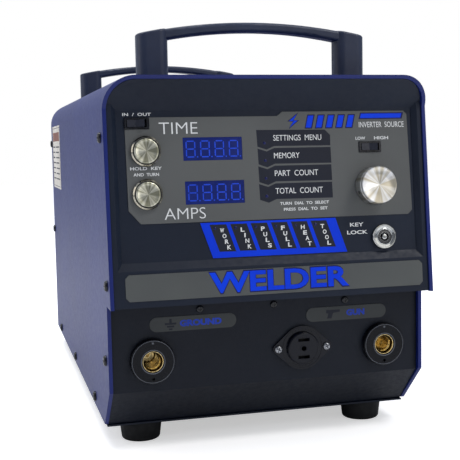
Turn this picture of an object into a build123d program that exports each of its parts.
"""Stud-welding power source: a sheet-metal cabinet with a leaning control panel, two output sockets,
carrying handles and the inverter inside. Millimetres, +Z up, the front faces -Y, the ground is Z = 0."""

from math import atan, cos, sin
import os

from build123d import *

os.makedirs("parts", exist_ok=True)

# ---- driving sizes ------------------------------------------------------------------------------
WIDTH = 282.0  # across the cover
COVER_HEIGHT = 296.0  # cover's lower edge to its roof
COVER_LENGTH = 525.0  # lower front edge to rear edge
CORNER_RADIUS = 26.0  # roof to side
FOOT_HEIGHT = 18.0
PAN_DROP = 3.0  # how far the base pan shows below the cover
FRONT_Y = -257.4  # lower front edge, so that the whole object is centred on Y = 0
EDGE_Z = FOOT_HEIGHT + PAN_DROP  # cover's lower edge

COVER_SHEET = 2.0
HEM_SHEET = 1.2  # the folded-back strip that stiffens the cover's front edge
HEM_DEPTH = 12.0
PANEL_SHEET = 1.5
GAP = 0.2  # between sheets that slide past each other when assembled

STEP_Z = 109.0  # underside of the overhanging control panel
STEP_OUT = 23.0  # how far it overhangs the lower panel
CREASE_Z = 270.0  # where the brow turns forward again
CREASE_OUT = 7.0
BROW_OUT = 19.0  # top front edge
CHAMFER_TOP = 36.0
CHAMFER_BACK = 37.0

CONTROL_INSET = 6.0  # control surface behind the cover's edge, square to the slope
STRIP_INSET = 1.5  # lower strip behind the cover's edge
LEDGE_LOW = 30.5  # up the slope, where the strip ends
LEDGE_HIGH = 37.0  # and where the control surface starts
CREASE_UP = 160.5  # up the slope, where the control surface meets the brow

LOWER_FACE = 4.0  # lower panel behind the cover's lower front edge
SCREW_RADIUS = 2.0
SCREW_HOLE = 2.2
HEAD_RADIUS = 4.5
HEAD_HEIGHT = 2.6
SMALL_SCREW = 1.5
SMALL_HOLE = 1.7
SMALL_HEAD = 3.2
SMALL_HEAD_HEIGHT = 1.8

INNER_HALF = WIDTH / 2 - COVER_SHEET
PANEL_HALF = INNER_HALF - HEM_SHEET - GAP
PANEL_TOP = COVER_HEIGHT - COVER_SHEET - HEM_SHEET - GAP
REAR_FACE = COVER_LENGTH - 4.0  # outside of the rear panel, measured like the side profile
BEYOND = 40.0  # how far a cutting shape runs past what it cuts

LEAN = atan((STEP_OUT - CREASE_OUT) / (CREASE_Z - STEP_Z))


# ---- frames -------------------------------------------------------------------------------------
def side(back, up):
    """A point of the side view: back from the lower front edge, up from the cover's lower edge."""
    return (FRONT_Y + back, EDGE_Z + up)


def on_slope(up, inset):
    """A side-view point at a distance up the leaning panel, set back from the cover's edge."""
    back = -STEP_OUT + up * sin(LEAN) + inset * cos(LEAN)
    return side(back, STEP_Z + up * cos(LEAN) - inset * sin(LEAN))


def facing_front(back):
    """A plane that faces the viewer: X across, local Y up from the cover's lower edge."""
    return Plane(origin=(0, FRONT_Y + back, EDGE_Z), x_dir=(1, 0, 0), z_dir=(0, -1, 0))


def level(up):
    """A horizontal plane at a height above the cover's lower edge, with Y from its front edge."""
    return Plane(origin=(0, FRONT_Y, EDGE_Z + up))


def facing_rear(back):
    """A plane that faces away from the viewer: local X runs towards -X."""
    return Plane(origin=(0, FRONT_Y + back, EDGE_Z), x_dir=(-1, 0, 0), z_dir=(0, 1, 0))


def seat_on(base, place):
    """A plane at a place on a base plane, facing the same way."""
    return Plane(origin=base.from_local_coords(Vector(*place)), x_dir=base.x_dir, z_dir=base.z_dir)


def outermost(piece, plane):
    """The face of a piece that lies farthest out along a plane's normal."""
    return piece.faces().sort_by(Axis(plane.origin, plane.z_dir))[-1]


slope = Plane(
    origin=(0, FRONT_Y - STEP_OUT, EDGE_Z + STEP_Z),
    x_dir=(1, 0, 0),
    z_dir=(0, -cos(LEAN), sin(LEAN)),
)
control = slope.offset(-CONTROL_INSET)
strip = slope.offset(-STRIP_INSET)
lower = facing_front(LOWER_FACE)
rear = facing_rear(REAR_FACE)

# ---- places on the leaning control surface (across, up the slope) -------------------------------
TIME_BUTTON = (-106.2, 127.4)
AMPS_BUTTON = (-106.2, 92.2)
DISPLAY_SIZE = (50.3, 19.0)
TIME_DISPLAY = (-49.9, 128.6)
AMPS_DISPLAY = (-49.5, 92.5)
DIAL = (90.6, 93.7)
SITE_ROCKER = (-112.8, 150.3)
RANGE_ROCKER = (89.8, 127.6)
ROCKER_CUTOUT = (18.8, 8.2)
KEY_LOCK = (99.0, 49.4)
MENU_LEDS = [(-5.0, 132.5 - 14.9 * row) for row in range(4)]
STATUS_LEDS = [(-51.2 + 17.65 * slot, 62.4) for slot in range(6)]

# ---- places on the lower panel (across, up from the cover's lower edge) -------------------------
SOCKETS = {"ground": (-104.0, 60.4), "gun": (104.0, 60.4)}
RECEPTACLE = (28.5, 62.2)
LIP_SCREWS = [(-62.0, 101.6), (3.5, 101.6), (69.0, 101.6)]

# ---- screws through the cover's sides (back, up) ------------------------------------------------
FRONT_COLUMN = [(8.0, 247.0), (-7.0, 127.0), (14.0, 61.0)]
BOTTOM_ROW = [(100.0, 9.0), (278.0, 9.0), (456.0, 9.0)]
REAR_COLUMN = [(COVER_LENGTH - 13.0, 133.0), (COVER_LENGTH - 13.0, 245.0)]
SIDE_SCREWS = FRONT_COLUMN + BOTTOM_ROW + REAR_COLUMN

# ---- carrying handles ---------------------------------------------------------------------------
HANDLE_BACKS = {"front_handle": 46.0, "rear_handle": 492.0}
HANDLE_HALF = 103.5
POST_WIDTH = 27.0
HANDLE_DEPTH = 21.0
POST_ROUND = 8.0
BAR_DEPTH = 17.0
HANDLE_SHOULDER = 39.0  # post height above the roof
HANDLE_CROWN = 50.0  # bar height above the roof at the middle
BAR_THICK = 8.6
POST_SCREW = HANDLE_HALF - POST_WIDTH / 2
HANDLE_SCREW = 2.5
ROOF_HOLE = 3.2

# ---- front edge of the cover, seen from the side ------------------------------------------------
FRONT_EDGE = [
    side(CHAMFER_BACK, 0),
    side(0, CHAMFER_TOP),
    side(0, STEP_Z),
    side(-STEP_OUT, STEP_Z),
    side(-CREASE_OUT, CREASE_Z),
    side(-BROW_OUT, COVER_HEIGHT),
]
FAR_FRONT = side(-STEP_OUT - BEYOND, 0)[0]
IN_FRONT = [
    (FRONT_EDGE[0][0], EDGE_Z - BEYOND),
    *FRONT_EDGE,
    (FRONT_EDGE[-1][0], EDGE_Z + COVER_HEIGHT + BEYOND),
    (FAR_FRONT, EDGE_Z + COVER_HEIGHT + BEYOND),
    (FAR_FRONT, EDGE_Z - BEYOND),
]

# ---- cover: one wrapped sheet, hemmed along its front edge --------------------------------------
with BuildPart() as front_hem:
    with BuildSketch(facing_front(CHAMFER_BACK + HEM_DEPTH)):
        RectangleRounded(2 * INNER_HALF, 2 * (COVER_HEIGHT - COVER_SHEET), CORNER_RADIUS - COVER_SHEET)
        RectangleRounded(
            2 * (INNER_HALF - HEM_SHEET),
            2 * (COVER_HEIGHT - COVER_SHEET - HEM_SHEET),
            CORNER_RADIUS - COVER_SHEET - HEM_SHEET,
            mode=Mode.SUBTRACT,
        )
        with Locations((0, -COVER_HEIGHT / 2)):
            Rectangle(WIDTH, COVER_HEIGHT, mode=Mode.SUBTRACT)
    extrude(amount=CHAMFER_BACK + HEM_DEPTH + BEYOND)
    with BuildSketch(Plane.YZ):
        with BuildLine():
            Polyline(*IN_FRONT, close=True)
        make_face()
    extrude(amount=WIDTH, both=True, mode=Mode.SUBTRACT)
    with BuildSketch(Plane.YZ):
        with BuildLine():
            Polyline(*[(y + HEM_DEPTH, z) for y, z in IN_FRONT], close=True)
        make_face()
    extrude(amount=WIDTH, both=True, mode=Mode.INTERSECT)

with BuildPart() as cover:
    with BuildSketch(facing_front(COVER_LENGTH)):
        RectangleRounded(WIDTH, 2 * COVER_HEIGHT, CORNER_RADIUS)
        RectangleRounded(
            2 * INNER_HALF,
            2 * (COVER_HEIGHT - COVER_SHEET),
            CORNER_RADIUS - COVER_SHEET,
            mode=Mode.SUBTRACT,
        )
        with Locations((0, -COVER_HEIGHT / 2)):
            Rectangle(WIDTH, COVER_HEIGHT, mode=Mode.SUBTRACT)
    extrude(amount=COVER_LENGTH + BEYOND)
    with BuildSketch(Plane.YZ):
        with BuildLine():
            Polyline(*IN_FRONT, close=True)
        make_face()
    extrude(amount=WIDTH, both=True, mode=Mode.SUBTRACT)
    add(front_hem.part)
    with BuildSketch(Plane.YZ):
        with Locations([side(*place) for place in SIDE_SCREWS]):
            Circle(SCREW_HOLE)
    extrude(amount=WIDTH, both=True, mode=Mode.SUBTRACT)
    with BuildSketch(level(COVER_HEIGHT)):
        for back in HANDLE_BACKS.values():
            with Locations((-POST_SCREW, back), (POST_SCREW, back)):
                Circle(ROOF_HOLE)
    extrude(amount=-BEYOND / 2, mode=Mode.SUBTRACT)

# ---- front panel: brow, control surface, ledge, strip, underside lip and fixing flange ----------
LIP_UP = 0.75  # up the slope, where the strip turns under
LIP_Z = on_slope(LIP_UP, STRIP_INSET)[1] - EDGE_Z
FLANGE_BACK = LOWER_FACE + PANEL_SHEET
FLANGE_LOW = 94.0
BROW_SETBACK = 1.6
PANEL_FACE = [
    side(FLANGE_BACK, FLANGE_LOW),
    side(FLANGE_BACK, LIP_Z),
    on_slope(LIP_UP, STRIP_INSET),
    on_slope(LEDGE_LOW, STRIP_INSET),
    on_slope(LEDGE_HIGH, CONTROL_INSET),
    on_slope(CREASE_UP, CONTROL_INSET),
    side(-BROW_OUT + BROW_SETBACK, PANEL_TOP),
]
PANEL_BACK = 60.0  # the folded section is drawn closed this far back, then opened
BEHIND = side(PANEL_BACK, 0)[0]
SIDE_FLANGE = 24.0
RAIL_WIDE = 8.0  # raised border along each side of the control surface
RAIL_BROW = 6.0  # how far up the brow it reaches
RAIL_SLOPE = CONTROL_INSET - STRIP_INSET - 0.5  # its inner side leans
BARREL_HOLE = 9.6
BUSH_HOLE = 3.7
LOCK_HOLE = 8.2
LAMP_HOLE = 1.7
WINDOW_GAP = 0.4  # display window, larger than the display
THROUGH = 5.0  # half the depth of a cut through a panel

with BuildPart() as side_rail:
    with BuildSketch(Plane.YZ.offset(PANEL_HALF - RAIL_WIDE)):
        with BuildLine():
            Polyline(
                on_slope(LEDGE_LOW, STRIP_INSET),
                on_slope(CREASE_UP + RAIL_BROW, STRIP_INSET),
                on_slope(CREASE_UP + RAIL_BROW, CONTROL_INSET + GAP),
                on_slope(LEDGE_LOW, CONTROL_INSET + GAP),
                close=True,
            )
        make_face()
    extrude(amount=RAIL_WIDE)
    upright_edges = side_rail.edges().filter_by(lambda edge: edge.length > CREASE_UP / 2)
    chamfer(upright_edges.sort_by(Axis.X)[:2].sort_by(Axis.Y)[:1], RAIL_SLOPE)

with BuildPart() as front_panel:
    with BuildSketch(Plane.YZ):
        with BuildLine():
            Polyline(
                *PANEL_FACE,
                (BEHIND, PANEL_FACE[-1][1]),
                (BEHIND, PANEL_FACE[0][1]),
                close=True,
            )
        make_face()
        offset(amount=-PANEL_SHEET, kind=Kind.INTERSECTION, mode=Mode.SUBTRACT)
        with Locations(side(FLANGE_BACK + PANEL_SHEET, 0)):
            Rectangle(2 * PANEL_BACK, 3 * COVER_HEIGHT, align=(Align.MIN, Align.CENTER), mode=Mode.SUBTRACT)
    extrude(amount=PANEL_HALF, both=True)
    with BuildSketch(Plane.YZ.offset(PANEL_HALF - PANEL_SHEET)):
        with BuildLine():
            Polyline(
                PANEL_FACE[2],
                *PANEL_FACE[3:6],
                (PANEL_FACE[5][0] + SIDE_FLANGE, PANEL_FACE[5][1]),
                (PANEL_FACE[2][0] + SIDE_FLANGE, PANEL_FACE[2][1]),
                close=True,
            )
        make_face()
    right_flange = extrude(amount=PANEL_SHEET)
    mirror(right_flange, about=Plane.YZ)
    add(side_rail.part)
    mirror(side_rail.part, about=Plane.YZ)
    with BuildSketch(facing_front(PANEL_BACK)):
        RectangleRounded(2 * PANEL_HALF, 2 * PANEL_TOP, CORNER_RADIUS - COVER_SHEET - HEM_SHEET)
    extrude(amount=2 * PANEL_BACK, mode=Mode.INTERSECT)
    with BuildSketch(Plane.YZ):
        with Locations([side(*place) for place in FRONT_COLUMN[:2]]):
            Circle(SCREW_HOLE)
    extrude(amount=WIDTH, both=True, mode=Mode.SUBTRACT)
    with BuildSketch(control):
        with Locations(TIME_BUTTON, AMPS_BUTTON):
            Circle(BARREL_HOLE)
        with Locations(TIME_DISPLAY, AMPS_DISPLAY):
            Rectangle(DISPLAY_SIZE[0] + WINDOW_GAP, DISPLAY_SIZE[1] + WINDOW_GAP)
        with Locations(SITE_ROCKER, RANGE_ROCKER):
            Rectangle(*ROCKER_CUTOUT)
        with Locations(DIAL):
            Circle(BUSH_HOLE)
        with Locations(KEY_LOCK):
            Circle(LOCK_HOLE)
        with Locations(MENU_LEDS + STATUS_LEDS):
            Circle(LAMP_HOLE)
    extrude(amount=THROUGH, both=True, mode=Mode.SUBTRACT)
    with BuildSketch(facing_front(FLANGE_BACK)):
        with Locations(LIP_SCREWS):
            Circle(SMALL_HOLE)
    extrude(amount=THROUGH, both=True, mode=Mode.SUBTRACT)

# ---- lower panel: upright face, chamfer and a foot resting on the base pan ----------------------
SOCKET_HOLE = 14.1
RECEPTACLE_HOLE = 13.2
RECEPTACLE_SCREW = 22.0
LOWER_TOP = LIP_Z - GAP / 2
PAN_FLOOR = -PAN_DROP + PANEL_SHEET  # top of the pan's floor
LOWER_BEND = CHAMFER_TOP - 1.5
LOWER_FACE_LINE = [
    side(LOWER_FACE, LOWER_TOP),
    side(LOWER_FACE, LOWER_BEND),
    side(CHAMFER_BACK + 2.5, PAN_FLOOR),
]
LOWER_BACK = 90.0  # the folded section is drawn closed this far back, then opened
TOE_BACK = 56.0  # rear end of the toe that rests on the pan
LOWER_FLANGE = 22.0
LOWER_FLANGE_TOP = 92.0
LOWER_FLANGE_TOE = 16.0

with BuildPart() as lower_panel:
    with BuildSketch(Plane.YZ):
        with BuildLine():
            Polyline(
                *LOWER_FACE_LINE,
                side(LOWER_BACK, PAN_FLOOR),
                side(LOWER_BACK, LOWER_TOP),
                close=True,
            )
        make_face()
        offset(amount=-PANEL_SHEET, kind=Kind.INTERSECTION, mode=Mode.SUBTRACT)
        with Locations(side(LOWER_FACE + PANEL_SHEET, LOWER_TOP)):
            Rectangle(LOWER_BACK, 4 * PANEL_SHEET, align=(Align.MIN, Align.CENTER), mode=Mode.SUBTRACT)
        with Locations(side(TOE_BACK, 0)):
            Rectangle(LOWER_BACK, COVER_HEIGHT, align=(Align.MIN, Align.CENTER), mode=Mode.SUBTRACT)
    extrude(amount=PANEL_HALF, both=True)
    with BuildSketch(Plane.YZ.offset(PANEL_HALF - PANEL_SHEET)):
        with BuildLine():
            Polyline(
                side(LOWER_FACE, LOWER_FLANGE_TOP),
                side(LOWER_FACE, LOWER_BEND),
                side(LOWER_FACE + LOWER_FLANGE, LOWER_FLANGE_TOE),
                side(LOWER_FACE + LOWER_FLANGE, LOWER_FLANGE_TOP),
                close=True,
            )
        make_face()
    lower_flange = extrude(amount=PANEL_SHEET)
    mirror(lower_flange, about=Plane.YZ)
    with BuildSketch(Plane.YZ):
        with BuildLine():
            Polyline(
                *LOWER_FACE_LINE,
                side(-BEYOND, PAN_FLOOR),
                side(-BEYOND, LOWER_TOP),
                close=True,
            )
        make_face()
    extrude(amount=WIDTH, both=True, mode=Mode.SUBTRACT)
    with BuildSketch(Plane.YZ):
        with Locations(side(*FRONT_COLUMN[2])):
            Circle(SCREW_HOLE)
    extrude(amount=WIDTH, both=True, mode=Mode.SUBTRACT)
    with BuildSketch(lower):
        with Locations(*SOCKETS.values()):
            Circle(SOCKET_HOLE)
        with Locations(RECEPTACLE):
            Circle(RECEPTACLE_HOLE)
        with Locations(
            (RECEPTACLE[0] - RECEPTACLE_SCREW, RECEPTACLE[1]),
            (RECEPTACLE[0] + RECEPTACLE_SCREW, RECEPTACLE[1]),
        ):
            Circle(SMALL_HOLE)
        with Locations(LIP_SCREWS):
            Circle(SMALL_HOLE)
    extrude(amount=THROUGH, both=True, mode=Mode.SUBTRACT)

# ---- base pan: floor with vent slots and turned-up sides ----------------------------------------
PAN_HALF = INNER_HALF - 2 * GAP
PAN_FRONT = CHAMFER_BACK + 1.0
PAN_REAR = REAR_FACE - PANEL_SHEET
FOOT_PLACES = {
    "foot_front_left": (-106.0, 60.0),
    "foot_front_right": (106.0, 60.0),
    "foot_rear_left": (-106.0, 470.0),
    "foot_rear_right": (106.0, 470.0),
}
FOOT_SCREW = 2.5
FOOT_HOLE = 2.7
VENT_MIDDLE = 290.0
PAN_SLOT = (34.0, 5.0)
PAN_SLOT_PITCH = (46.0, 22.0)
PAN_SIDE_FRONT = 60.0
PAN_SIDE_LONG = 430.0
PAN_SIDE_HIGH = 22.0
PAN_BACK_HIGH = 18.0
PAN_SCREWS = [(-90.0, 8.0), (90.0, 8.0)]  # through the rear panel into the pan

with BuildPart() as base_pan:
    with BuildSketch(level(-PAN_DROP)):
        with Locations((0, (PAN_FRONT + PAN_REAR) / 2)):
            Rectangle(2 * PAN_HALF, PAN_REAR - PAN_FRONT)
        with Locations((0, VENT_MIDDLE)):
            with GridLocations(*PAN_SLOT_PITCH, 4, 12):
                SlotOverall(*PAN_SLOT, mode=Mode.SUBTRACT)
        with Locations(*FOOT_PLACES.values()):
            Circle(FOOT_HOLE, mode=Mode.SUBTRACT)
    extrude(amount=PANEL_SHEET)
    with BuildSketch(Plane.YZ.offset(PAN_HALF - PANEL_SHEET)):
        with Locations(side(PAN_SIDE_FRONT, PAN_FLOOR)):
            Rectangle(PAN_SIDE_LONG, PAN_SIDE_HIGH, align=(Align.MIN, Align.MIN))
    right_side = extrude(amount=PANEL_SHEET)
    mirror(right_side, about=Plane.YZ)
    with BuildSketch(facing_front(PAN_REAR)):
        with Locations((0, PAN_FLOOR)):
            Rectangle(2 * PAN_HALF - 20, PAN_BACK_HIGH, align=(Align.CENTER, Align.MIN))
    extrude(amount=PANEL_SHEET)
    with BuildSketch(Plane.YZ):
        with Locations([side(*place) for place in BOTTOM_ROW]):
            Circle(SCREW_HOLE)
    extrude(amount=WIDTH, both=True, mode=Mode.SUBTRACT)
    with BuildSketch(rear):
        with Locations(PAN_SCREWS):
            Circle(SMALL_HOLE)
    extrude(amount=-THROUGH, mode=Mode.SUBTRACT)

# ---- rear panel: fan opening, exhaust slots, breaker window and cable gland hole ----------------
FAN_CENTRE = (0.0, 200.0)
FAN_OPENING = 56.5
FAN_PITCH = 105.0  # between the fan's screws
FAN_SCREW = 2.0
FAN_HOLE = 2.2
BREAKER = (72.0, 66.0)
BREAKER_WINDOW = (44.0, 62.0)
GLAND = (-82.0, 56.0)
GLAND_THREAD = 10.0
REAR_TOP = COVER_HEIGHT - COVER_SHEET - GAP
EXHAUST_AT = (104.0, 190.0)
EXHAUST_SLOT = (44.0, 5.0)
EXHAUST_PITCH = 12.0
REAR_FLANGE = 18.0
REAR_FLANGE_LOW = 40.0
REAR_FLANGE_HIGH = 226.0

with BuildPart() as rear_panel:
    with BuildSketch(rear):
        RectangleRounded(2 * PAN_HALF, 2 * REAR_TOP, CORNER_RADIUS - COVER_SHEET)
        with Locations((0, PAN_FLOOR)):
            Rectangle(WIDTH, 2 * COVER_HEIGHT, align=(Align.CENTER, Align.MAX), mode=Mode.SUBTRACT)
        with Locations(FAN_CENTRE):
            Circle(FAN_OPENING, mode=Mode.SUBTRACT)
            with GridLocations(FAN_PITCH, FAN_PITCH, 2, 2):
                Circle(FAN_HOLE, mode=Mode.SUBTRACT)
        with Locations(BREAKER):
            Rectangle(*BREAKER_WINDOW, mode=Mode.SUBTRACT)
        with Locations(GLAND):
            Circle(GLAND_THREAD + 0.2, mode=Mode.SUBTRACT)
        with Locations(PAN_SCREWS):
            Circle(SMALL_HOLE, mode=Mode.SUBTRACT)
        with Locations((-EXHAUST_AT[0], EXHAUST_AT[1]), EXHAUST_AT):
            with GridLocations(1, EXHAUST_PITCH, 1, 9):
                SlotOverall(*EXHAUST_SLOT, mode=Mode.SUBTRACT)
    extrude(amount=-PANEL_SHEET)
    with BuildSketch(Plane.YZ.offset(PAN_HALF - PANEL_SHEET)):
        with Locations(side(REAR_FACE - PANEL_SHEET, REAR_FLANGE_LOW)):
            Rectangle(REAR_FLANGE, REAR_FLANGE_HIGH, align=(Align.MAX, Align.MIN))
    rear_flange = extrude(amount=PANEL_SHEET)
    mirror(rear_flange, about=Plane.YZ)
    with BuildSketch(Plane.YZ):
        with Locations([side(*place) for place in REAR_COLUMN]):
            Circle(SCREW_HOLE)
    extrude(amount=WIDTH, both=True, mode=Mode.SUBTRACT)


# ---- fasteners ----------------------------------------------------------------------------------
def pan_screw(shank, length, head, head_height):
    """A domed cross-head screw at each enclosing location: head above the surface, shank below it."""
    with BuildPart(mode=Mode.PRIVATE) as screw:
        Cylinder(head, head_height, align=(Align.CENTER, Align.CENTER, Align.MIN))
        fillet(screw.faces().sort_by(Axis.Z)[-1].edges(), head_height * 0.75)
        with Locations((0, 0, head_height)):
            for long_side, short_side in ((head * 1.1, head * 0.25), (head * 0.25, head * 1.1)):
                Box(
                    long_side,
                    short_side,
                    head_height,
                    align=(Align.CENTER, Align.CENTER, Align.CENTER),
                    mode=Mode.SUBTRACT,
                )
        Cylinder(shank, length, align=(Align.CENTER, Align.CENTER, Align.MAX))
    add(screw.part)


def hex_nut(across, bore, thickness):
    """A hexagon nut at each enclosing location, its seat on the plane's surface, growing below it."""
    with BuildPart(mode=Mode.PRIVATE) as nut:
        with BuildSketch():
            RegularPolygon(across / 2, 6, major_radius=False)
            Circle(bore, mode=Mode.SUBTRACT)
        extrude(amount=-thickness)
    add(nut.part)


with BuildPart() as cover_screws:
    for sign in (-1, 1):
        face = Plane(origin=(sign * WIDTH / 2, FRONT_Y, EDGE_Z), x_dir=(0, 1, 0), z_dir=(sign, 0, 0))
        with Locations(face):
            with Locations([(back, sign * up) for back, up in SIDE_SCREWS]):
                pan_screw(SCREW_RADIUS, 7.0, HEAD_RADIUS, HEAD_HEIGHT)

# ---- carrying handles ---------------------------------------------------------------------------
HANDLE_SCREW_DEPTH = 14.0
UNDER_SHOULDER = 4.6
BAR_ROUND = 3.0
BAR_DROP = 0.4  # the bar's crown lies this far below the posts' tops
BAR_END = POST_SCREW + 3


def arc_radius(half_chord, rise):
    """The radius of an arc over a chord."""
    return (half_chord**2 + rise**2) / (2 * rise)


CROWN_RADIUS = arc_radius(HANDLE_HALF, HANDLE_CROWN - HANDLE_SHOULDER)
UNDER_RADIUS = arc_radius(
    HANDLE_HALF - POST_WIDTH, HANDLE_CROWN - BAR_THICK - HANDLE_SHOULDER + UNDER_SHOULDER
)
handles = {}
for handle_name, back in HANDLE_BACKS.items():
    with BuildPart() as handle_bar:
        with BuildSketch(facing_front(back - BAR_DEPTH / 2)):
            with Locations((0, COVER_HEIGHT + HANDLE_CROWN - CROWN_RADIUS)):
                Circle(CROWN_RADIUS - BAR_DROP)
            with Locations((0, COVER_HEIGHT + HANDLE_CROWN - BAR_THICK - UNDER_RADIUS)):
                Circle(UNDER_RADIUS, mode=Mode.SUBTRACT)
            with Locations((0, COVER_HEIGHT + HANDLE_CROWN)):
                Rectangle(2 * BAR_END, HANDLE_CROWN, mode=Mode.INTERSECT)
        extrude(amount=-BAR_DEPTH)
        long_edges = handle_bar.edges().filter_by(lambda edge: edge.length > BAR_END)
        fillet(long_edges, BAR_ROUND)
    with BuildPart() as handle:
        with BuildSketch(level(COVER_HEIGHT)):
            with Locations((POST_SCREW, back)):
                RectangleRounded(POST_WIDTH, HANDLE_DEPTH, POST_ROUND)
        extrude(amount=HANDLE_CROWN)
        with BuildSketch(facing_front(back - HANDLE_DEPTH)):
            with Locations((0, COVER_HEIGHT + HANDLE_CROWN - CROWN_RADIUS)):
                Circle(CROWN_RADIUS)
        extrude(amount=-2 * HANDLE_DEPTH, mode=Mode.INTERSECT)
        fillet(handle.faces().sort_by(Axis.Z)[-1].edges(), BAR_ROUND - 1)
        mirror(about=Plane.YZ)
        add(handle_bar.part)
        with BuildSketch(level(COVER_HEIGHT)):
            with Locations((-POST_SCREW, back), (POST_SCREW, back)):
                Circle(HANDLE_SCREW + 0.1)
        extrude(amount=HANDLE_SCREW_DEPTH, mode=Mode.SUBTRACT)
    handles[handle_name] = handle

UNDER_ROOF = Plane(
    origin=(0, FRONT_Y, EDGE_Z + COVER_HEIGHT - COVER_SHEET), x_dir=(1, 0, 0), z_dir=(0, 0, -1)
)
with BuildPart() as handle_screws:
    with Locations(UNDER_ROOF):
        with Locations([(x, -back) for back in HANDLE_BACKS.values() for x in (-POST_SCREW, POST_SCREW)]):
            pan_screw(HANDLE_SCREW, HANDLE_SCREW_DEPTH, 5.0, 3.4)

# ---- rubber feet --------------------------------------------------------------------------------
FOOT_RADIUS = 17.0
FOOT_TAPER = -7.0
FOOT_BORE = 6.5
FOOT_BORE_DEPTH = 9.0
FOOT_NUT = 4.0
FOOT_NUT_UP = PAN_FLOOR + FOOT_NUT
feet = {}
for foot_name, (x, back) in FOOT_PLACES.items():
    ground = Plane(origin=(x, FRONT_Y + back, 0))
    with BuildPart() as foot_part:
        with BuildSketch(ground):
            Circle(FOOT_RADIUS)
        extrude(amount=FOOT_HEIGHT, taper=FOOT_TAPER)
        fillet(foot_part.faces().sort_by(Axis.Z)[0].edges(), 2.5)
        with Locations(ground.offset(FOOT_HEIGHT)):
            Hole(FOOT_HOLE)
        with BuildSketch(ground):
            Circle(FOOT_BORE)
        extrude(amount=FOOT_BORE_DEPTH, mode=Mode.SUBTRACT)
    feet[foot_name] = foot_part

with BuildPart() as foot_screws:
    underside = Plane(origin=(0, FRONT_Y, FOOT_BORE_DEPTH), x_dir=(1, 0, 0), z_dir=(0, 0, -1))
    with Locations(underside):
        with Locations([(x, -back) for x, back in FOOT_PLACES.values()]):
            pan_screw(FOOT_SCREW, FOOT_HEIGHT - FOOT_BORE_DEPTH + PANEL_SHEET + 5.5, 4.6, 3.2)

# ---- printed sheets stuck to the panel ----------------------------------------------------------
OVERLAY = 0.6
LABEL = 0.5
BUTTON_BEZEL = 12.4
ROCKER_BEZEL = (20.6, 9.4)
PRINT_GAP = 0.1  # printed sheet around the part that comes through it
KNOB_CLEARANCE = 6.6
OVERLAY_OUTLINE = [
    (-122.6, 145.4),
    (-122.2, 79.5),
    (-112.5, 68.3),
    (123.0, 68.3),
    (127.0, 72.0),
    (125.6, 155.6),
    (122.6, 158.6),
    (11.7, 158.6),
    (7.0, 155.0),
    (-102.2, 155.0),
    (-102.2, 145.4),
]
STATUS_OUTLINE = [(-63.4, 67.4), (55.2, 67.4), (64.8, 38.0), (-53.6, 38.0)]
STRIP_SIZE = (260.0, 21.6)
STRIP_AT = (2.0, 16.9)
OVAL_SIZE = (75.0, 12.3)
OVALS = {"ground": (-67.8, 90.4), "gun": (70.4, 90.0)}
RATING_SIZE = (104.0, 78.0)
RATING_AT = (450.0, 228.0)
RATING_THICK = 0.3

with BuildPart() as control_overlay:
    with BuildSketch(control):
        with BuildLine():
            Polyline(*OVERLAY_OUTLINE, close=True)
        make_face()
        with Locations(TIME_BUTTON, AMPS_BUTTON):
            Circle(BUTTON_BEZEL + PRINT_GAP, mode=Mode.SUBTRACT)
        with Locations(TIME_DISPLAY, AMPS_DISPLAY):
            Rectangle(DISPLAY_SIZE[0] + 2 * PRINT_GAP, DISPLAY_SIZE[1] + 2 * PRINT_GAP, mode=Mode.SUBTRACT)
        with Locations(RANGE_ROCKER):
            Rectangle(ROCKER_BEZEL[0] + 2 * PRINT_GAP, ROCKER_BEZEL[1] + 2 * PRINT_GAP, mode=Mode.SUBTRACT)
        with Locations(DIAL):
            Circle(KNOB_CLEARANCE, mode=Mode.SUBTRACT)
        with Locations(MENU_LEDS):
            Circle(LAMP_HOLE, mode=Mode.SUBTRACT)
    extrude(amount=OVERLAY)

with BuildPart() as status_overlay:
    with BuildSketch(control):
        with BuildLine():
            Polyline(*STATUS_OUTLINE, close=True)
        make_face()
        with Locations(STATUS_LEDS):
            Circle(LAMP_HOLE, mode=Mode.SUBTRACT)
    extrude(amount=LABEL)

with BuildPart() as model_strip:
    with BuildSketch(strip):
        with Locations(STRIP_AT):
            Rectangle(*STRIP_SIZE)
        chamfer(vertices(), 3.0)
    extrude(amount=LABEL)

oval_labels = {}
for socket_name, place in OVALS.items():
    with BuildPart() as oval:
        with BuildSketch(seat_on(lower, place)):
            SlotOverall(*OVAL_SIZE)
        extrude(amount=LABEL)
    oval_labels[socket_name] = oval

with BuildPart() as rating_label:
    with BuildSketch(Plane.YZ.offset(-WIDTH / 2)):
        with Locations(side(*RATING_AT)):
            Rectangle(*RATING_SIZE)
    extrude(amount=-RATING_THICK)

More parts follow.
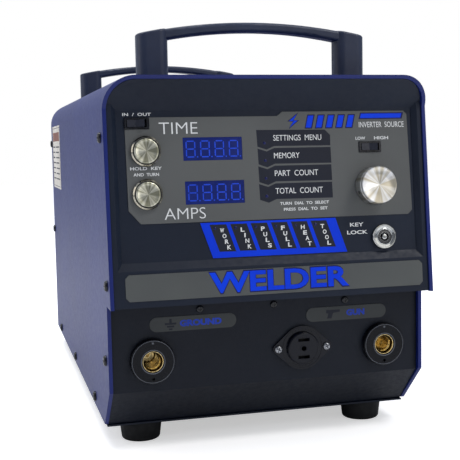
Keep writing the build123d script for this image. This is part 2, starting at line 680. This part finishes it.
# ---- output sockets: insulating flange, brass bore and copper bar -------------------------------
FLANGE_OUT = 6.0
BRASS_OUT = 5.4
BRASS_RADIUS = 9.0
BORE_RADIUS = 6.5
BORE_DEPTH = 30.0
STUD_RADIUS = 5.0
STUD_LONG = 14.0
BAR_BACK = 27.0  # busbar's front face behind the lower panel's face
BAR_WIDE = 26.0
BAR_THICKNESS = 3.0
BAR_LONG = 96.0
FLANGE_RADIUS = 19.0
SLEEVE_DEEP = 18.0
KEYWAY_DOWN = 14.5  # the small locating hole in the flange
KEYWAY_RADIUS = 1.3
insulators = {}
contacts = {}
for socket_name, place in SOCKETS.items():
    seat = seat_on(lower, place)
    with BuildPart() as insulator:
        with BuildSketch(seat):
            Circle(FLANGE_RADIUS)
        extrude(amount=FLANGE_OUT)
        fillet(outermost(insulator, seat).edges(), 1.6)
        with BuildSketch(seat):
            Circle(SOCKET_HOLE - 0.2)
        extrude(amount=-SLEEVE_DEEP)
        with BuildSketch(seat.offset(FLANGE_OUT)):
            Circle(BRASS_RADIUS + 0.05)
        extrude(amount=-BEYOND, mode=Mode.SUBTRACT)
        with BuildSketch(seat.offset(FLANGE_OUT)):
            with Locations((0, -KEYWAY_DOWN)):
                Circle(KEYWAY_RADIUS)
        extrude(amount=-FLANGE_OUT / 2, mode=Mode.SUBTRACT)
    insulators[socket_name] = insulator
    with BuildPart() as contact:
        with BuildSketch(seat.offset(BRASS_OUT)):
            Circle(BRASS_RADIUS)
        extrude(amount=-BAR_BACK - BRASS_OUT)
        with BuildSketch(seat.offset(-BAR_BACK)):
            Circle(STUD_RADIUS)
        extrude(amount=-STUD_LONG)
        with BuildSketch(seat.offset(BRASS_OUT)):
            Circle(BORE_RADIUS)
        extrude(amount=-BORE_DEPTH, mode=Mode.SUBTRACT)
        chamfer(outermost(contact, seat).edges(), 0.6)
    contacts[socket_name] = contact

with BuildPart() as output_busbars:
    for x, up in SOCKETS.values():
        with BuildSketch(facing_front(LOWER_FACE + BAR_BACK)):
            with Locations((x, up + BAR_WIDE)):
                Rectangle(BAR_WIDE, 1.5 * BAR_WIDE, align=(Align.CENTER, Align.MAX))
            with Locations((x, up)):
                Circle(STUD_RADIUS + 0.1, mode=Mode.SUBTRACT)
        extrude(amount=-BAR_THICKNESS)
        with BuildSketch(level(up + BAR_WIDE)):
            with Locations((x, LOWER_FACE + BAR_BACK)):
                Rectangle(BAR_WIDE, BAR_LONG, align=(Align.CENTER, Align.MIN))
        extrude(amount=-BAR_THICKNESS)

# ---- control receptacle: diamond flange, round face and two blades ------------------------------
BLADE_UP = 7.6
BLADE_SLOT = (10.4, 2.8)
PIN_HOLE = 2.2
DIAMOND_WAIST = 19.2
DIAMOND_TIP = 4.6
DIAMOND_THICK = 2.6
FACE_RADIUS = 14.2
FACE_OUT = 6.4
RECEPTACLE_DEEP = 26.0
SLOT_DEEP = 16.0
receptacle_seat = seat_on(lower, RECEPTACLE)
with BuildPart() as control_receptacle:
    with BuildSketch(receptacle_seat):
        with BuildLine():
            CenterArc((0, 0), DIAMOND_WAIST, 0, 360)
            CenterArc((-RECEPTACLE_SCREW, 0), DIAMOND_TIP, 0, 360)
            CenterArc((RECEPTACLE_SCREW, 0), DIAMOND_TIP, 0, 360)
        make_hull()
        with Locations((-RECEPTACLE_SCREW, 0), (RECEPTACLE_SCREW, 0)):
            Circle(SMALL_HOLE, mode=Mode.SUBTRACT)
    extrude(amount=DIAMOND_THICK)
    with BuildSketch(receptacle_seat):
        Circle(FACE_RADIUS)
    extrude(amount=FACE_OUT)
    fillet(outermost(control_receptacle, receptacle_seat).edges(), 1.2)
    with BuildSketch(receptacle_seat):
        Circle(RECEPTACLE_HOLE - 0.2)
    extrude(amount=-RECEPTACLE_DEEP)
    with BuildSketch(receptacle_seat.offset(FACE_OUT)):
        with Locations((0, BLADE_UP), (0, -BLADE_UP)):
            Rectangle(*BLADE_SLOT)
        Circle(PIN_HOLE)
    extrude(amount=-SLOT_DEEP, mode=Mode.SUBTRACT)

with BuildPart() as receptacle_contacts:
    with BuildSketch(receptacle_seat.offset(FACE_OUT - SLOT_DEEP)):
        with Locations((0, BLADE_UP), (0, -BLADE_UP)):
            Rectangle(BLADE_SLOT[0] - GAP, BLADE_SLOT[1] - GAP)
        Circle(PIN_HOLE - GAP)
    extrude(amount=SLOT_DEEP - FACE_OUT)

# ---- push buttons: fixed bezel and barrel, sliding cap and stem ---------------------------------
BEZEL_HIGH = 4.2
CAP_RADIUS = 10.2
CAP_LOW = 2.7
CAP_HIGH = 5.4
CAP_WELL = 0.6  # floor of the bezel's recess above the panel
STEM_RADIUS = 3.0
STEM_LONG = 16.0
BARREL_RADIUS = 9.4
BARREL_LONG = 20.0
RUNNING = 0.05  # radial clearance of a shaft in its bore
button_bezels = {}
button_caps = {}
for button_name, place in {"time_button": TIME_BUTTON, "amps_button": AMPS_BUTTON}.items():
    seat = seat_on(control, place)
    with BuildPart() as bezel:
        with BuildSketch(seat):
            Circle(BUTTON_BEZEL)
        extrude(amount=BEZEL_HIGH)
        chamfer(outermost(bezel, seat).edges(), 1.1)
        with BuildSketch(seat):
            Circle(BARREL_RADIUS)
        extrude(amount=-BARREL_LONG)
        with BuildSketch(seat.offset(CAP_WELL)):
            Circle(CAP_RADIUS + 0.3)
        extrude(amount=BEZEL_HIGH, mode=Mode.SUBTRACT)
        with BuildSketch(seat.offset(CAP_WELL)):
            Circle(STEM_RADIUS + RUNNING)
        extrude(amount=-STEM_LONG - 1.6, mode=Mode.SUBTRACT)
    button_bezels[button_name] = bezel
    with BuildPart() as cap:
        with BuildSketch(seat.offset(CAP_LOW)):
            Circle(CAP_RADIUS)
        extrude(amount=CAP_HIGH - CAP_LOW)
        chamfer(outermost(cap, seat).edges(), 0.7)
        with BuildSketch(seat.offset(CAP_LOW)):
            Circle(STEM_RADIUS)
        extrude(amount=-STEM_LONG)
    button_caps[button_name] = cap

# ---- rocker switches ----------------------------------------------------------------------------
ROCKER_TILT = 8.0
PIVOT_DEEP = 3.5
PIN_RADIUS = 1.0
FRAME_HIGH = 1.6
FRAME_DEEP = 15.0
FRAME_OPENING = (16.6, 6.6)
ROCKER_HALF = 2.95
PIN_HALF = 3.6
ROCKER_PROFILE = [
    (-7.0, 6.7),
    (0, 5.4),
    (7.0, 6.7),
    (7.6, 4.0),
    (7.4, 0),
    (4.0, -4.5),
    (-4.0, -4.5),
    (-7.4, 0),
    (-7.6, 4.0),
]
rocker_frames = {}
rockers = {}
for rocker_name, place in {"site_rocker": SITE_ROCKER, "range_rocker": RANGE_ROCKER}.items():
    seat = seat_on(control, place)
    pivot = seat.offset(-PIVOT_DEEP)
    across_pin = Plane(origin=pivot.origin, x_dir=seat.x_dir, z_dir=-seat.y_dir)
    tilted = Plane(across_pin.location * Rotation(0, 0, ROCKER_TILT))
    with BuildPart() as frame:
        with BuildSketch(seat):
            RectangleRounded(*ROCKER_BEZEL, 1.0)
        extrude(amount=FRAME_HIGH)
        chamfer(outermost(frame, seat).edges(), 0.5)
        with BuildSketch(seat):
            Rectangle(ROCKER_CUTOUT[0] - 2 * GAP, ROCKER_CUTOUT[1] - GAP)
        extrude(amount=-FRAME_DEEP)
        with BuildSketch(seat.offset(FRAME_HIGH)):
            Rectangle(*FRAME_OPENING)
        extrude(amount=-FRAME_DEEP, mode=Mode.SUBTRACT)
        with BuildSketch(across_pin):
            Circle(PIN_RADIUS + RUNNING)
        extrude(amount=PIN_HALF + 0.1, both=True, mode=Mode.SUBTRACT)
    rocker_frames[rocker_name] = frame
    with BuildPart() as rocker:
        with BuildSketch(tilted):
            with BuildLine():
                Polyline(*ROCKER_PROFILE, close=True)
            make_face()
        extrude(amount=ROCKER_HALF, both=True)
        with BuildSketch(across_pin):
            Circle(PIN_RADIUS)
        extrude(amount=PIN_HALF, both=True)
    rockers[rocker_name] = rocker

# ---- push-and-turn dial: encoder, plunger, shaft and knob ---------------------------------------
KNOB_RADIUS = 16.0
KNOB_LOW = 1.8
KNOB_HIGH = 17.0
BUSH_RADIUS = 3.5
SHAFT_RADIUS = 3.0
SHAFT_LOW = -6.6
SHAFT_LONG = 20.0
ENCODER_SIDE = 13.0
ENCODER_DEEP = 7.5
BUSH_LONG = 7.0
PLUNGER_RADIUS = 4.2
PLUNGER_THICK = 1.0
PLUNGER_WELL = 3.4
KNOB_HOLLOW = 8.5
KNOB_HOLLOW_DEEP = 5.4
BEHIND_SHEET = -PANEL_SHEET
dial_seat = seat_on(control, DIAL)
with BuildPart() as encoder_body:
    with BuildSketch(dial_seat.offset(BEHIND_SHEET)):
        Rectangle(ENCODER_SIDE, ENCODER_SIDE)
    extrude(amount=-ENCODER_DEEP)
    with BuildSketch(dial_seat.offset(BEHIND_SHEET)):
        Circle(BUSH_RADIUS)
    extrude(amount=BUSH_LONG)
    with BuildSketch(dial_seat.offset(BUSH_LONG)):
        Circle(SHAFT_RADIUS + RUNNING)
    extrude(amount=-SHAFT_LONG, mode=Mode.SUBTRACT)
    with BuildSketch(dial_seat.offset(BEHIND_SHEET - ENCODER_DEEP)):
        Circle(PLUNGER_RADIUS + 0.4)
    extrude(amount=PLUNGER_WELL, mode=Mode.SUBTRACT)

with BuildPart() as dial_plunger:
    with BuildSketch(dial_seat.offset(SHAFT_LOW)):
        Circle(PLUNGER_RADIUS)
    extrude(amount=-PLUNGER_THICK)

with BuildPart() as dial_shaft:
    with BuildSketch(dial_seat.offset(SHAFT_LOW)):
        Circle(SHAFT_RADIUS)
    extrude(amount=SHAFT_LONG)

with BuildPart() as knob:
    with BuildSketch(dial_seat.offset(KNOB_LOW)):
        Circle(KNOB_RADIUS)
    extrude(amount=KNOB_HIGH - KNOB_LOW)
    chamfer(outermost(knob, dial_seat).edges(), 1.0)
    with BuildSketch(dial_seat.offset(KNOB_LOW)):
        Circle(KNOB_HOLLOW)
    extrude(amount=KNOB_HOLLOW_DEEP, mode=Mode.SUBTRACT)
    with BuildSketch(dial_seat.offset(KNOB_LOW)):
        Circle(SHAFT_RADIUS + 0.01)
    extrude(amount=SHAFT_LOW + SHAFT_LONG - KNOB_LOW, mode=Mode.SUBTRACT)

# ---- key lock: chrome body and turning plug with its cam ----------------------------------------
lock_seat = seat_on(control, KEY_LOCK)
LOCK_FACE = 3.4
LOCK_RADIUS = 11.0
LOCK_BARREL = 8.0
LOCK_DEEP = 20.0
PLUG_RADIUS = 6.0
PLUG_FACE = LOCK_FACE - 0.8
PLUG_BACK = -23.0
KEY_OUTSIDE = 3.9
KEY_INSIDE = 2.3
KEY_DEEP = 6.0
KEY_NOTCH = (1.6, 1.8)
CAM_SIZE = (8.0, 24.0)
CAM_THICK = 2.4
with BuildPart() as lock_body:
    with BuildSketch(lock_seat):
        Circle(LOCK_RADIUS)
    extrude(amount=LOCK_FACE)
    fillet(outermost(lock_body, lock_seat).edges(), 1.5)
    with BuildSketch(lock_seat):
        Circle(LOCK_BARREL)
    extrude(amount=-LOCK_DEEP)
    with BuildSketch(lock_seat.offset(LOCK_FACE)):
        Circle(PLUG_RADIUS + RUNNING)
    extrude(amount=-BEYOND, mode=Mode.SUBTRACT)

with BuildPart() as lock_plug:
    with BuildSketch(lock_seat.offset(PLUG_FACE)):
        Circle(PLUG_RADIUS)
    extrude(amount=PLUG_BACK - PLUG_FACE)
    with BuildSketch(lock_seat.offset(PLUG_FACE)):
        Circle(KEY_OUTSIDE)
        Circle(KEY_INSIDE, mode=Mode.SUBTRACT)
        with Locations((0, KEY_OUTSIDE + 0.3)):
            Rectangle(*KEY_NOTCH)
    extrude(amount=-KEY_DEEP, mode=Mode.SUBTRACT)
    with BuildSketch(lock_seat.offset(PLUG_BACK)):
        with Locations((0, PLUG_RADIUS)):
            Rectangle(*CAM_SIZE)
    extrude(amount=CAM_THICK)

# ---- displays, lamps and their board ------------------------------------------------------------
BOARD_DEEP = 9.0
BOARD_THICK = 1.6
WINDOW_RECESS = 0.2
LAMP_RADIUS = 1.5
LAMP_OUT = 1.1
BOARD_PLATES = [((-9.0, 112.0), (162.0, 80.0)), ((0.0, 64.0), (148.0, 24.0)), ((92.0, 97.0), (48.0, 40.0))]
CHIP_SIDE = 22.0
RELAY_SIZE = (10.0, 18.0)
HEADER_SIZE = (24.0, 7.0)
CHIP_HIGH = 5.0
display_modules = {}
for display_name, place in {"time_display": TIME_DISPLAY, "amps_display": AMPS_DISPLAY}.items():
    with BuildPart() as display:
        with BuildSketch(seat_on(control, place).offset(-BOARD_DEEP)):
            Rectangle(*DISPLAY_SIZE)
        extrude(amount=BOARD_DEEP + OVERLAY - WINDOW_RECESS)
    display_modules[display_name] = display

lamp_groups = {}
for lamp_name, places in {"menu_lamps": MENU_LEDS, "status_lamps": STATUS_LEDS}.items():
    with BuildPart() as lamps:
        with BuildSketch(control.offset(-BOARD_DEEP)):
            with Locations(places):
                Circle(LAMP_RADIUS)
        extrude(amount=BOARD_DEEP + LAMP_OUT)
        domes = lamps.edges().filter_by(lambda edge: control.to_local_coords(edge.center()).Z > 1)
        fillet(domes, 0.9)
    lamp_groups[lamp_name] = lamps

STANDOFFS = [(-84.0, 146.0), (-84.0, 76.0), (64.0, 146.0), (66.0, 62.0), (-68.0, 56.0), (110.0, 112.0)]
with BuildPart() as control_board:
    with BuildSketch(control.offset(-BOARD_DEEP)):
        for middle, plate in BOARD_PLATES:
            with Locations(middle):
                Rectangle(*plate)
        with Locations(STANDOFFS):
            Circle(SMALL_HOLE, mode=Mode.SUBTRACT)
    extrude(amount=-BOARD_THICK)
    with BuildSketch(control.offset(-BOARD_DEEP - BOARD_THICK)):
        with Locations((-40, 110), (20, 120)):
            Rectangle(CHIP_SIDE, CHIP_SIDE)
        with Locations((30, 88), (52, 88)):
            Rectangle(*RELAY_SIZE)
        with Locations((-72, 70), (40, 142)):
            Rectangle(*HEADER_SIZE)
    extrude(amount=-CHIP_HIGH)

# ---- fan: frame, bladed rotor and wire guard ----------------------------------------------------
FAN_SIDE = 119.0
FAN_DEEP = 25.0
FAN_BORE = 57.5
HUB_RADIUS = 20.0
STRUT = (42.0, 6.0)
STRUT_AT = 39.0
STRUT_THICK = 3.0
BEARING_RADIUS = 5.0
BEARING_LONG = 16.0
AXLE_RADIUS = 2.0
AXLE_LONG = 14.0
ROTOR_RADIUS = 19.5
ROTOR_WALL = 2.5
ROTOR_FRONT = 2.0
ROTOR_LONG = 17.0
BLADE_COUNT = 7
BLADE = (36.0, 1.6, 20.0)
BLADE_AT = 36.5
BLADE_PITCH = 38.0
fan_back = seat_on(facing_rear(REAR_FACE - PANEL_SHEET), FAN_CENTRE)
fan_front = fan_back.offset(-FAN_DEEP)
HALF_PITCH = FAN_PITCH / 2
FAN_CORNERS = [(across, up) for across in (-HALF_PITCH, HALF_PITCH) for up in (-HALF_PITCH, HALF_PITCH)]
with BuildPart() as fan_frame:
    with BuildSketch(fan_back):
        RectangleRounded(FAN_SIDE, FAN_SIDE, 5)
        Circle(FAN_BORE, mode=Mode.SUBTRACT)
    extrude(amount=-FAN_DEEP)
    with BuildSketch(fan_back):
        Circle(HUB_RADIUS)
        with PolarLocations(STRUT_AT, 4, start_angle=20):
            Rectangle(*STRUT)
    extrude(amount=-STRUT_THICK)
    with BuildSketch(fan_back):
        Circle(BEARING_RADIUS)
    extrude(amount=-BEARING_LONG)
    with BuildSketch(fan_back.offset(-STRUT_THICK)):
        Circle(AXLE_RADIUS + RUNNING)
    extrude(amount=-FAN_DEEP, mode=Mode.SUBTRACT)
    with BuildSketch(fan_back):
        with Locations(FAN_CORNERS):
            Circle(FAN_HOLE)
    extrude(amount=-FAN_DEEP, mode=Mode.SUBTRACT)

with BuildPart() as fan_rotor:
    with BuildSketch(fan_front.offset(ROTOR_FRONT)):
        Circle(ROTOR_RADIUS)
    extrude(amount=ROTOR_LONG)
    with BuildSketch(fan_front.offset(ROTOR_FRONT + 3)):
        Circle(ROTOR_RADIUS - ROTOR_WALL)
    extrude(amount=ROTOR_LONG - 3, mode=Mode.SUBTRACT)
    with BuildSketch(fan_front.offset(ROTOR_FRONT + 3)):
        Circle(AXLE_RADIUS)
    extrude(amount=AXLE_LONG)
    with Locations(fan_front.offset(ROTOR_FRONT + ROTOR_LONG / 2)):
        with PolarLocations(BLADE_AT, BLADE_COUNT):
            Box(*BLADE, rotation=(BLADE_PITCH, 0, 0))

WIRE = 0.9
GUARD_OUT = 1.0
GUARD_RINGS = [56.0, 45.5, 35.0, 24.5, 14.0]
SPOKE_AT = 41.6
SPOKE_LONG = 58.0
EYE_RADIUS = 3.4
with BuildPart() as fan_guard:
    with BuildSketch(seat_on(rear, FAN_CENTRE).offset(GUARD_OUT - WIRE)):
        for ring_radius in GUARD_RINGS:
            Circle(ring_radius + WIRE)
            Circle(ring_radius - WIRE, mode=Mode.SUBTRACT)
        with PolarLocations(SPOKE_AT, 4, start_angle=45):
            Rectangle(SPOKE_LONG, 2 * WIRE)
        with Locations(FAN_CORNERS):
            Circle(EYE_RADIUS + WIRE)
            Circle(EYE_RADIUS - WIRE, mode=Mode.SUBTRACT)
    extrude(amount=2 * WIRE)

# ---- mains breaker: body in its window, tilting lever -------------------------------------------
breaker_seat = seat_on(rear, BREAKER)
LEVER_TILT = 20.0
LEVER_DEEP = 3.0
BREAKER_BACK = (58.0, 76.0)
BREAKER_DEEP = 52.0
BREAKER_OUT = 6.0
DRUM_RADIUS = 12.0
DRUM_HALF = 10.0
DRUM_PIN = 1.5
DRUM_PIN_HALF = 12.8
DRUM_CLEAR = 0.6
TOGGLE = (16.0, 7.0)
TOGGLE_HALF = 9.0
hinge_line = Plane(
    origin=breaker_seat.offset(-LEVER_DEEP).origin, x_dir=(0, 0, 1), z_dir=breaker_seat.x_dir
)
with BuildPart() as breaker_body:
    with BuildSketch(breaker_seat.offset(-PANEL_SHEET)):
        Rectangle(*BREAKER_BACK)
    extrude(amount=-BREAKER_DEEP)
    with BuildSketch(breaker_seat.offset(-PANEL_SHEET)):
        Rectangle(BREAKER_WINDOW[0] - 2 * GAP, BREAKER_WINDOW[1] - 2 * GAP)
    extrude(amount=PANEL_SHEET + BREAKER_OUT)
    chamfer(outermost(breaker_body, breaker_seat).edges(), 1.0)
    with BuildSketch(hinge_line):
        Circle(DRUM_RADIUS + DRUM_CLEAR)
        Rectangle(2 * (DRUM_RADIUS + DRUM_CLEAR), BEYOND, align=(Align.CENTER, Align.MIN))
    extrude(amount=DRUM_HALF + DRUM_CLEAR, both=True, mode=Mode.SUBTRACT)
    with BuildSketch(hinge_line):
        Circle(DRUM_PIN + RUNNING)
    extrude(amount=DRUM_PIN_HALF + GAP, both=True, mode=Mode.SUBTRACT)

with BuildPart() as breaker_lever:
    with BuildSketch(hinge_line):
        Circle(DRUM_RADIUS)
    extrude(amount=DRUM_HALF, both=True)
    with BuildSketch(hinge_line):
        with PolarLocations(16, 1, start_angle=90 + LEVER_TILT):
            Rectangle(*TOGGLE)
    extrude(amount=TOGGLE_HALF, both=True)
    with BuildSketch(hinge_line):
        Circle(DRUM_PIN)
    extrude(amount=DRUM_PIN_HALF, both=True)

# ---- mains cable gland --------------------------------------------------------------------------
gland_seat = seat_on(rear, GLAND)
GLAND_BORE = 7.0
GLAND_HEX = 12.0
HEX_HIGH = 5.0
DOME_RADIUS = 11.6
DOME_HIGH = 15.0
GLAND_DEEP = 12.0
GLAND_OUT = HEX_HIGH + DOME_HIGH
with BuildPart() as mains_gland:
    with BuildSketch(gland_seat):
        RegularPolygon(GLAND_HEX, 6, major_radius=False)
    extrude(amount=HEX_HIGH)
    with BuildSketch(gland_seat.offset(HEX_HIGH)):
        Circle(DOME_RADIUS)
    extrude(amount=DOME_HIGH)
    fillet(outermost(mains_gland, gland_seat).edges(), 3.0)
    with BuildSketch(gland_seat):
        Circle(GLAND_THREAD)
    extrude(amount=-GLAND_DEEP)
    with BuildSketch(gland_seat.offset(GLAND_OUT)):
        Circle(GLAND_BORE)
    extrude(amount=-GLAND_OUT - GLAND_DEEP, mode=Mode.SUBTRACT)

# ---- small screws on the panels, nuts behind them and the board's spacers -----------------------
with BuildPart() as panel_screws:
    with Locations(lower):
        with Locations(LIP_SCREWS):
            pan_screw(SMALL_SCREW, 6.0, SMALL_HEAD, SMALL_HEAD_HEIGHT)
    with Locations(rear):
        with Locations(PAN_SCREWS):
            pan_screw(SMALL_SCREW, 6.0, SMALL_HEAD, SMALL_HEAD_HEIGHT)
    with Locations(receptacle_seat.offset(DIAMOND_THICK)):
        with Locations((-RECEPTACLE_SCREW, 0), (RECEPTACLE_SCREW, 0)):
            pan_screw(SMALL_SCREW, 8.0, SMALL_HEAD, SMALL_HEAD_HEIGHT)
    with Locations(seat_on(rear, FAN_CENTRE).offset(GUARD_OUT + WIRE)):
        with Locations(FAN_CORNERS):
            pan_screw(FAN_SCREW, 12.0, 4.0, 2.4)

with BuildPart() as nuts_and_spacers:
    with BuildSketch(control.offset(BEHIND_SHEET)):
        with Locations(STANDOFFS):
            RegularPolygon(3.0, 6)
    extrude(amount=PANEL_SHEET - BOARD_DEEP)
    for place in (TIME_BUTTON, AMPS_BUTTON):
        with Locations(seat_on(control, place).offset(BEHIND_SHEET)):
            hex_nut(23.0, 9.45, 3.0)
    with Locations(seat_on(control, KEY_LOCK).offset(BEHIND_SHEET)):
        hex_nut(20.0, 8.05, 3.0)
    with Locations(dial_seat.offset(2.0)):
        hex_nut(10.0, BUSH_RADIUS + 0.05, 2.0)
    for place in SOCKETS.values():
        with Locations(seat_on(lower, place).offset(BEHIND_SHEET)):
            hex_nut(35.0, SOCKET_HOLE - 0.15, 4.0)
        with Locations(seat_on(lower, place).offset(-BAR_BACK - BAR_THICKNESS)):
            hex_nut(16.0, STUD_RADIUS + 0.05, 6.0)
    with Locations(gland_seat.offset(BEHIND_SHEET)):
        hex_nut(26.0, GLAND_THREAD + 0.05, 5.0)
    with Locations(level(FOOT_NUT_UP)):
        with Locations(list(FOOT_PLACES.values())):
            hex_nut(8.0, FOOT_SCREW + 0.05, FOOT_NUT)

# ---- inverter: bracket, heat sink, power modules, capacitors, transformer ------------------------
BRACKET_FRONT = 150.0
BRACKET_LONG = 290.0
BRACKET_HALF = 116.0
SHELF_UP = 132.0
BRACKET_SHEET = 2.0
SHELF_TOP = SHELF_UP + BRACKET_SHEET
BRACKET_TOE = 18.0
BRACKET_WINDOW = (66.0, 70.0)
BRACKET_WINDOW_PITCH = 88.0
BRACKET_WINDOW_UP = 66.0
TOE_AT = BRACKET_HALF + BRACKET_TOE / 2 - 1.0
with BuildPart() as power_bracket:
    with BuildSketch(facing_front(BRACKET_FRONT)):
        with Locations((0, PAN_FLOOR)):
            Rectangle(2 * BRACKET_HALF, SHELF_TOP - PAN_FLOOR, align=(Align.CENTER, Align.MIN))
            Rectangle(
                2 * (BRACKET_HALF - BRACKET_SHEET),
                SHELF_UP - PAN_FLOOR,
                align=(Align.CENTER, Align.MIN),
                mode=Mode.SUBTRACT,
            )
            with Locations((-TOE_AT, 0), (TOE_AT, 0)):
                Rectangle(BRACKET_TOE, BRACKET_SHEET, align=(Align.CENTER, Align.MIN))
    extrude(amount=-BRACKET_LONG)
    with BuildSketch(Plane.YZ):
        with Locations(side(BRACKET_FRONT + BRACKET_LONG / 2, BRACKET_WINDOW_UP)):
            with GridLocations(BRACKET_WINDOW_PITCH, 1, 3, 1):
                RectangleRounded(*BRACKET_WINDOW, 8)
    extrude(amount=WIDTH, both=True, mode=Mode.SUBTRACT)

SINK_HALF = 55.0
SINK_LONG = 230.0
SINK_FRONT = 175.0
FIN_HIGH = 42.0
BASE_THICK = 9.0
FIN_COUNT = 12
FIN_THICK = 2.4
with BuildPart() as heat_sink:
    with BuildSketch(facing_front(SINK_FRONT)):
        with Locations((0, SHELF_TOP + FIN_HIGH)):
            Rectangle(2 * SINK_HALF, BASE_THICK, align=(Align.CENTER, Align.MIN))
        with Locations((0, SHELF_TOP + FIN_HIGH / 2)):
            with GridLocations((2 * SINK_HALF - FIN_THICK) / (FIN_COUNT - 1), 1, FIN_COUNT, 1):
                Rectangle(FIN_THICK, FIN_HIGH)
    extrude(amount=-SINK_LONG)

MODULE_SEAT = SHELF_TOP + FIN_HIGH + BASE_THICK
MODULE_SIZE = (62.0, 60.0)
MODULE_HIGH = 24.0
MODULE_PITCH = 74.0
TERMINAL_RADIUS = 5.0
TERMINAL_HIGH = 4.0
TERMINAL_PITCH = 18.0
with BuildPart() as power_modules:
    with BuildSketch(level(MODULE_SEAT)):
        with Locations((0, SINK_FRONT + SINK_LONG / 2)):
            with GridLocations(1, MODULE_PITCH, 1, 3):
                RectangleRounded(*MODULE_SIZE, 3)
    extrude(amount=MODULE_HIGH)
    with BuildSketch(level(MODULE_SEAT + MODULE_HIGH)):
        with Locations((0, SINK_FRONT + SINK_LONG / 2)):
            with GridLocations(TERMINAL_PITCH, MODULE_PITCH, 3, 3):
                Circle(TERMINAL_RADIUS)
    extrude(amount=TERMINAL_HIGH)

CAN_RADIUS = 24.0
CAN_HIGH = 96.0
CAN_PITCH = 54.0
CAN_ROW = 86.0
with BuildPart() as capacitor_bank:
    with BuildSketch(level(SHELF_TOP)):
        with Locations((0, SINK_FRONT + SINK_LONG / 2)):
            with GridLocations(2 * CAN_ROW, CAN_PITCH, 2, 4):
                Circle(CAN_RADIUS)
    extrude(amount=CAN_HIGH)
    fillet(capacitor_bank.faces().group_by(Axis.Z)[-1].edges(), 2.0)

CORE_WIDE = 150.0
CORE_HIGH = 100.0
CORE_LONG = 64.0
CORE_LEG = 30.0
CORE_BACK = 300.0
CORE_YOKE = 18.0
WINDING_OUT = 23.0  # winding beyond the core's front and rear faces
core_face = facing_front(CORE_BACK - CORE_LONG / 2)
window_wide = (CORE_WIDE - 3 * CORE_LEG) / 2
with BuildPart() as transformer_core:
    with BuildSketch(core_face):
        with Locations((0, PAN_FLOOR)):
            Rectangle(CORE_WIDE, CORE_HIGH, align=(Align.CENTER, Align.MIN))
        with Locations((0, PAN_FLOOR + CORE_HIGH / 2)):
            with GridLocations(CORE_LEG + window_wide, 1, 2, 1):
                Rectangle(window_wide, CORE_HIGH - 2 * CORE_YOKE, mode=Mode.SUBTRACT)
    extrude(amount=-CORE_LONG)

with BuildPart() as transformer_winding:
    with BuildSketch(level(PAN_FLOOR + CORE_YOKE + 2)):
        with Locations((0, CORE_BACK)):
            RectangleRounded(CORE_LEG + 2 * window_wide - 3, CORE_LONG + 2 * WINDING_OUT, 14)
            Rectangle(CORE_LEG + 1, CORE_LONG + 1, mode=Mode.SUBTRACT)
    extrude(amount=CORE_HIGH - 2 * CORE_YOKE - 4)

pieces = {
    "cover": cover,
    "cover_screws": cover_screws,
    "front_panel": front_panel,
    "lower_panel": lower_panel,
    "panel_screws": panel_screws,
    "nuts_and_spacers": nuts_and_spacers,
    "base_pan": base_pan,
    "rear_panel": rear_panel,
    **handles,
    "handle_screws": handle_screws,
    **feet,
    "foot_screws": foot_screws,
    "control_overlay": control_overlay,
    "status_overlay": status_overlay,
    "model_strip": model_strip,
    **{f"{name}_label": piece for name, piece in oval_labels.items()},
    "rating_label": rating_label,
    **{f"{name}_insulator": piece for name, piece in insulators.items()},
    **{f"{name}_contact": piece for name, piece in contacts.items()},
    "output_busbars": output_busbars,
    "control_receptacle": control_receptacle,
    "receptacle_contacts": receptacle_contacts,
    **{f"{name}_bezel": piece for name, piece in button_bezels.items()},
    **{f"{name}_cap": piece for name, piece in button_caps.items()},
    **{f"{name}_frame": piece for name, piece in rocker_frames.items()},
    **rockers,
    "encoder_body": encoder_body,
    "dial_plunger": dial_plunger,
    "dial_shaft": dial_shaft,
    "knob": knob,
    "lock_body": lock_body,
    "lock_plug": lock_plug,
    **display_modules,
    **lamp_groups,
    "control_board": control_board,
    "fan_frame": fan_frame,
    "fan_rotor": fan_rotor,
    "fan_guard": fan_guard,
    "breaker_body": breaker_body,
    "breaker_lever": breaker_lever,
    "mains_gland": mains_gland,
    "power_bracket": power_bracket,
    "heat_sink": heat_sink,
    "power_modules": power_modules,
    "capacitor_bank": capacitor_bank,
    "transformer_core": transformer_core,
    "transformer_winding": transformer_winding,
}
for name, piece in pieces.items():
    piece.part.label = name
    export_step(piece.part, f"parts/{name}.step")
